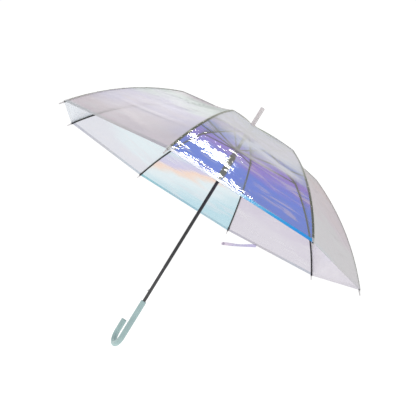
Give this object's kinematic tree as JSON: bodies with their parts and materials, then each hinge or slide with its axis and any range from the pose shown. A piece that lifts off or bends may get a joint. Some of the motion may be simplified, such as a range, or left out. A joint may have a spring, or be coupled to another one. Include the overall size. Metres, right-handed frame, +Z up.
{
  "type": "stick umbrella",
  "caption": "Open stick umbrella with a clear film dome on hinged ribs and stretchers, a sliding runner with catches and a J-shaped handle.",
  "frame": {"origin": "middle of the grip, on the shaft's axis", "axes": "+Z up the shaft to the ferrule, +X from the shaft to the hook's free end"},
  "size_m": [0.9904, 0.9904, 0.8151],
  "materials": {
    "film": "gloss",
    "strap_film": "gloss",
    "shaft_steel": "gloss",
    "rib_steel": "satin",
    "wire": "satin",
    "catch_steel": "satin",
    "handle_plastic": "satin",
    "ferrule_plastic": "satin",
    "crown_plastic": "satin",
    "runner_hub_plastic": "satin",
    "runner_plastic": "satin",
    "tip_plastic": "satin",
    "snap_plastic": "satin"
  },
  "bodies": {
    "shaft": {"shaft_tube": "shaft_steel", "handle": "handle_plastic", "ferrule": "ferrule_plastic", "crown": "crown_plastic", "crown_wire": "wire"},
    "runner": {"runner_hub": "runner_hub_plastic", "runner_sleeve": "runner_plastic", "runner_wire": "wire"},
    "top_catch": {"top_catch": "catch_steel"},
    "bottom_catch": {"bottom_catch": "catch_steel"},
    "rib_inner_1": {"rib_inner_1": "rib_steel", "canopy_inner_1": "film"},
    "rib_outer_1": {"rib_outer_1": "rib_steel", "rib_tip_1": "tip_plastic", "canopy_outer_1": "film"},
    "stretcher_1": {"stretcher_1": "rib_steel"},
    "rib_inner_2": {"rib_inner_2": "rib_steel", "canopy_inner_2": "film"},
    "rib_outer_2": {"rib_outer_2": "rib_steel", "rib_tip_2": "tip_plastic", "canopy_outer_2": "film"},
    "stretcher_2": {"stretcher_2": "rib_steel"},
    "rib_inner_3": {"rib_inner_3": "rib_steel", "canopy_inner_3": "film"},
    "rib_outer_3": {"rib_outer_3": "rib_steel", "rib_tip_3": "tip_plastic", "canopy_outer_3": "film"},
    "stretcher_3": {"stretcher_3": "rib_steel"},
    "rib_inner_4": {"rib_inner_4": "rib_steel", "canopy_inner_4": "film"},
    "rib_outer_4": {"rib_outer_4": "rib_steel", "rib_tip_4": "tip_plastic", "canopy_outer_4": "film"},
    "stretcher_4": {"stretcher_4": "rib_steel"},
    "rib_inner_5": {"rib_inner_5": "rib_steel", "canopy_inner_5": "film"},
    "rib_outer_5": {"rib_outer_5": "rib_steel", "rib_tip_5": "tip_plastic", "canopy_outer_5": "film"},
    "stretcher_5": {"stretcher_5": "rib_steel"},
    "rib_inner_6": {"rib_inner_6": "rib_steel", "canopy_inner_6": "film"},
    "rib_outer_6": {"rib_outer_6": "rib_steel", "rib_tip_6": "tip_plastic", "canopy_outer_6": "film"},
    "stretcher_6": {"stretcher_6": "rib_steel"},
    "rib_inner_7": {"rib_inner_7": "rib_steel", "canopy_inner_7": "film"},
    "rib_outer_7": {"rib_outer_7": "rib_steel", "rib_tip_7": "tip_plastic", "canopy_outer_7": "film"},
    "stretcher_7": {"stretcher_7": "rib_steel"},
    "rib_inner_8": {"rib_inner_8": "rib_steel", "canopy_inner_8": "film"},
    "rib_outer_8": {"rib_outer_8": "rib_steel", "rib_tip_8": "tip_plastic", "canopy_outer_8": "film", "closure_strap": "strap_film", "strap_snap": "snap_plastic"},
    "stretcher_8": {"stretcher_8": "rib_steel"}
  },
  "joints": [
    {"name": "fold", "type": "hinge", "parent": "shaft", "child": "rib_inner_1", "pos_m": [0.00982, 0.00191, 0.62006], "axis": [-0.1908, 0.9816, 0], "range_deg": [0, 78.2], "deforming": ["canopy_inner_1", "canopy_outer_1", "canopy_inner_2", "canopy_outer_2", "canopy_inner_3", "canopy_outer_3", "canopy_inner_4", "canopy_outer_4", "canopy_inner_5", "canopy_outer_5", "canopy_inner_6", "canopy_outer_6", "canopy_inner_7", "canopy_outer_7", "canopy_inner_8", "canopy_outer_8", "closure_strap", "strap_snap", "top_catch", "bottom_catch"]},
    {"name": "knee_1", "type": "hinge", "parent": "rib_inner_1", "child": "rib_outer_1", "pos_m": [0.23836, 0.04633, 0.58816], "axis": [-0.1908, 0.9816, 0], "range_deg": [-25.96, 0]},
    {"name": "stretcher_1_turn", "type": "hinge", "parent": "rib_inner_1", "child": "stretcher_1", "pos_m": [0.23836, 0.04633, 0.58816], "axis": [-0.1908, 0.9816, 0], "range_deg": [-156.45, 0]},
    {"name": "rib_2_fold", "type": "hinge", "parent": "shaft", "child": "rib_inner_2", "pos_m": [0.00559, 0.00829, 0.62006], "axis": [-0.829, 0.5592, 0], "range_deg": [0, 78.25]},
    {"name": "knee_2", "type": "hinge", "parent": "rib_inner_2", "child": "rib_outer_2", "pos_m": [0.13579, 0.20131, 0.58816], "axis": [-0.829, 0.5592, 0], "range_deg": [-25.96, 0]},
    {"name": "stretcher_2_turn", "type": "hinge", "parent": "rib_inner_2", "child": "stretcher_2", "pos_m": [0.13579, 0.20131, 0.58816], "axis": [-0.829, 0.5592, 0], "range_deg": [-156.45, 0]},
    {"name": "rib_3_fold", "type": "hinge", "parent": "shaft", "child": "rib_inner_3", "pos_m": [-0.00191, 0.00982, 0.62006], "axis": [-0.9816, -0.1908, 0], "range_deg": [0, 78.25]},
    {"name": "knee_3", "type": "hinge", "parent": "rib_inner_3", "child": "rib_outer_3", "pos_m": [-0.04633, 0.23836, 0.58816], "axis": [-0.9816, -0.1908, 0], "range_deg": [-25.96, 0]},
    {"name": "stretcher_3_turn", "type": "hinge", "parent": "rib_inner_3", "child": "stretcher_3", "pos_m": [-0.04633, 0.23836, 0.58816], "axis": [-0.9816, -0.1908, 0], "range_deg": [-156.45, 0]},
    {"name": "rib_4_fold", "type": "hinge", "parent": "shaft", "child": "rib_inner_4", "pos_m": [-0.00829, 0.00559, 0.62006], "axis": [-0.5592, -0.829, 0], "range_deg": [0, 78.25]},
    {"name": "knee_4", "type": "hinge", "parent": "rib_inner_4", "child": "rib_outer_4", "pos_m": [-0.20131, 0.13579, 0.58816], "axis": [-0.5592, -0.829, 0], "range_deg": [-25.96, 0]},
    {"name": "stretcher_4_turn", "type": "hinge", "parent": "rib_inner_4", "child": "stretcher_4", "pos_m": [-0.20131, 0.13579, 0.58816], "axis": [-0.5592, -0.829, 0], "range_deg": [-156.45, 0]},
    {"name": "rib_5_fold", "type": "hinge", "parent": "shaft", "child": "rib_inner_5", "pos_m": [-0.00982, -0.00191, 0.62006], "axis": [0.1908, -0.9816, 0], "range_deg": [0, 78.25]},
    {"name": "knee_5", "type": "hinge", "parent": "rib_inner_5", "child": "rib_outer_5", "pos_m": [-0.23836, -0.04633, 0.58816], "axis": [0.1908, -0.9816, 0], "range_deg": [-25.96, 0]},
    {"name": "stretcher_5_turn", "type": "hinge", "parent": "rib_inner_5", "child": "stretcher_5", "pos_m": [-0.23836, -0.04633, 0.58816], "axis": [0.1908, -0.9816, 0], "range_deg": [-156.45, 0]},
    {"name": "rib_6_fold", "type": "hinge", "parent": "shaft", "child": "rib_inner_6", "pos_m": [-0.00559, -0.00829, 0.62006], "axis": [0.829, -0.5592, 0], "range_deg": [0, 78.25]},
    {"name": "knee_6", "type": "hinge", "parent": "rib_inner_6", "child": "rib_outer_6", "pos_m": [-0.13579, -0.20131, 0.58816], "axis": [0.829, -0.5592, 0], "range_deg": [-25.96, 0]},
    {"name": "stretcher_6_turn", "type": "hinge", "parent": "rib_inner_6", "child": "stretcher_6", "pos_m": [-0.13579, -0.20131, 0.58816], "axis": [0.829, -0.5592, 0], "range_deg": [-156.45, 0]},
    {"name": "rib_7_fold", "type": "hinge", "parent": "shaft", "child": "rib_inner_7", "pos_m": [0.00191, -0.00982, 0.62006], "axis": [0.9816, 0.1908, 0], "range_deg": [0, 78.25]},
    {"name": "knee_7", "type": "hinge", "parent": "rib_inner_7", "child": "rib_outer_7", "pos_m": [0.04633, -0.23836, 0.58816], "axis": [0.9816, 0.1908, 0], "range_deg": [-25.96, 0]},
    {"name": "stretcher_7_turn", "type": "hinge", "parent": "rib_inner_7", "child": "stretcher_7", "pos_m": [0.04633, -0.23836, 0.58816], "axis": [0.9816, 0.1908, 0], "range_deg": [-156.45, 0]},
    {"name": "rib_8_fold", "type": "hinge", "parent": "shaft", "child": "rib_inner_8", "pos_m": [0.00829, -0.00559, 0.62006], "axis": [0.5592, 0.829, 0], "range_deg": [0, 78.25]},
    {"name": "knee_8", "type": "hinge", "parent": "rib_inner_8", "child": "rib_outer_8", "pos_m": [0.20131, -0.13579, 0.58816], "axis": [0.5592, 0.829, 0], "range_deg": [-25.96, 0]},
    {"name": "stretcher_8_turn", "type": "hinge", "parent": "rib_inner_8", "child": "stretcher_8", "pos_m": [0.20131, -0.13579, 0.58816], "axis": [0.5592, 0.829, 0], "range_deg": [-156.45, 0]},
    {"name": "runner_turn", "type": "hinge", "parent": "stretcher_1", "child": "runner", "pos_m": [0.00982, 0.00191, 0.55627], "axis": [-0.1908, 0.9816, 0], "range_deg": [0, 78.25]},
    {"name": "top_catch_press", "type": "slide", "parent": "shaft", "child": "top_catch", "axis": [-0.8339, -0.5519, 0], "range_m": [0, 0.0054], "stiffness_N_per_m": 500, "springref_m": -0.002},
    {"name": "bottom_catch_press", "type": "slide", "parent": "shaft", "child": "bottom_catch", "axis": [-0.8339, -0.5519, 0], "range_m": [0, 0.0054], "stiffness_N_per_m": 500, "springref_m": -0.002}
  ],
  "couplings": [
    {"joint": "knee_1", "follows": "fold", "ratio": -0.33132},
    {"joint": "stretcher_1_turn", "follows": "fold", "ratio": -2},
    {"joint": "rib_2_fold", "follows": "fold", "ratio": 1},
    {"joint": "knee_2", "follows": "fold", "ratio": -0.33132},
    {"joint": "stretcher_2_turn", "follows": "fold", "ratio": -2},
    {"joint": "rib_3_fold", "follows": "fold", "ratio": 1},
    {"joint": "knee_3", "follows": "fold", "ratio": -0.33132},
    {"joint": "stretcher_3_turn", "follows": "fold", "ratio": -2},
    {"joint": "rib_4_fold", "follows": "fold", "ratio": 1},
    {"joint": "knee_4", "follows": "fold", "ratio": -0.33132},
    {"joint": "stretcher_4_turn", "follows": "fold", "ratio": -2},
    {"joint": "rib_5_fold", "follows": "fold", "ratio": 1},
    {"joint": "knee_5", "follows": "fold", "ratio": -0.33132},
    {"joint": "stretcher_5_turn", "follows": "fold", "ratio": -2},
    {"joint": "rib_6_fold", "follows": "fold", "ratio": 1},
    {"joint": "knee_6", "follows": "fold", "ratio": -0.33132},
    {"joint": "stretcher_6_turn", "follows": "fold", "ratio": -2},
    {"joint": "rib_7_fold", "follows": "fold", "ratio": 1},
    {"joint": "knee_7", "follows": "fold", "ratio": -0.33132},
    {"joint": "stretcher_7_turn", "follows": "fold", "ratio": -2},
    {"joint": "rib_8_fold", "follows": "fold", "ratio": 1},
    {"joint": "knee_8", "follows": "fold", "ratio": -0.33132},
    {"joint": "stretcher_8_turn", "follows": "fold", "ratio": -2},
    {"joint": "runner_turn", "follows": "fold", "ratio": 1}
  ]
}
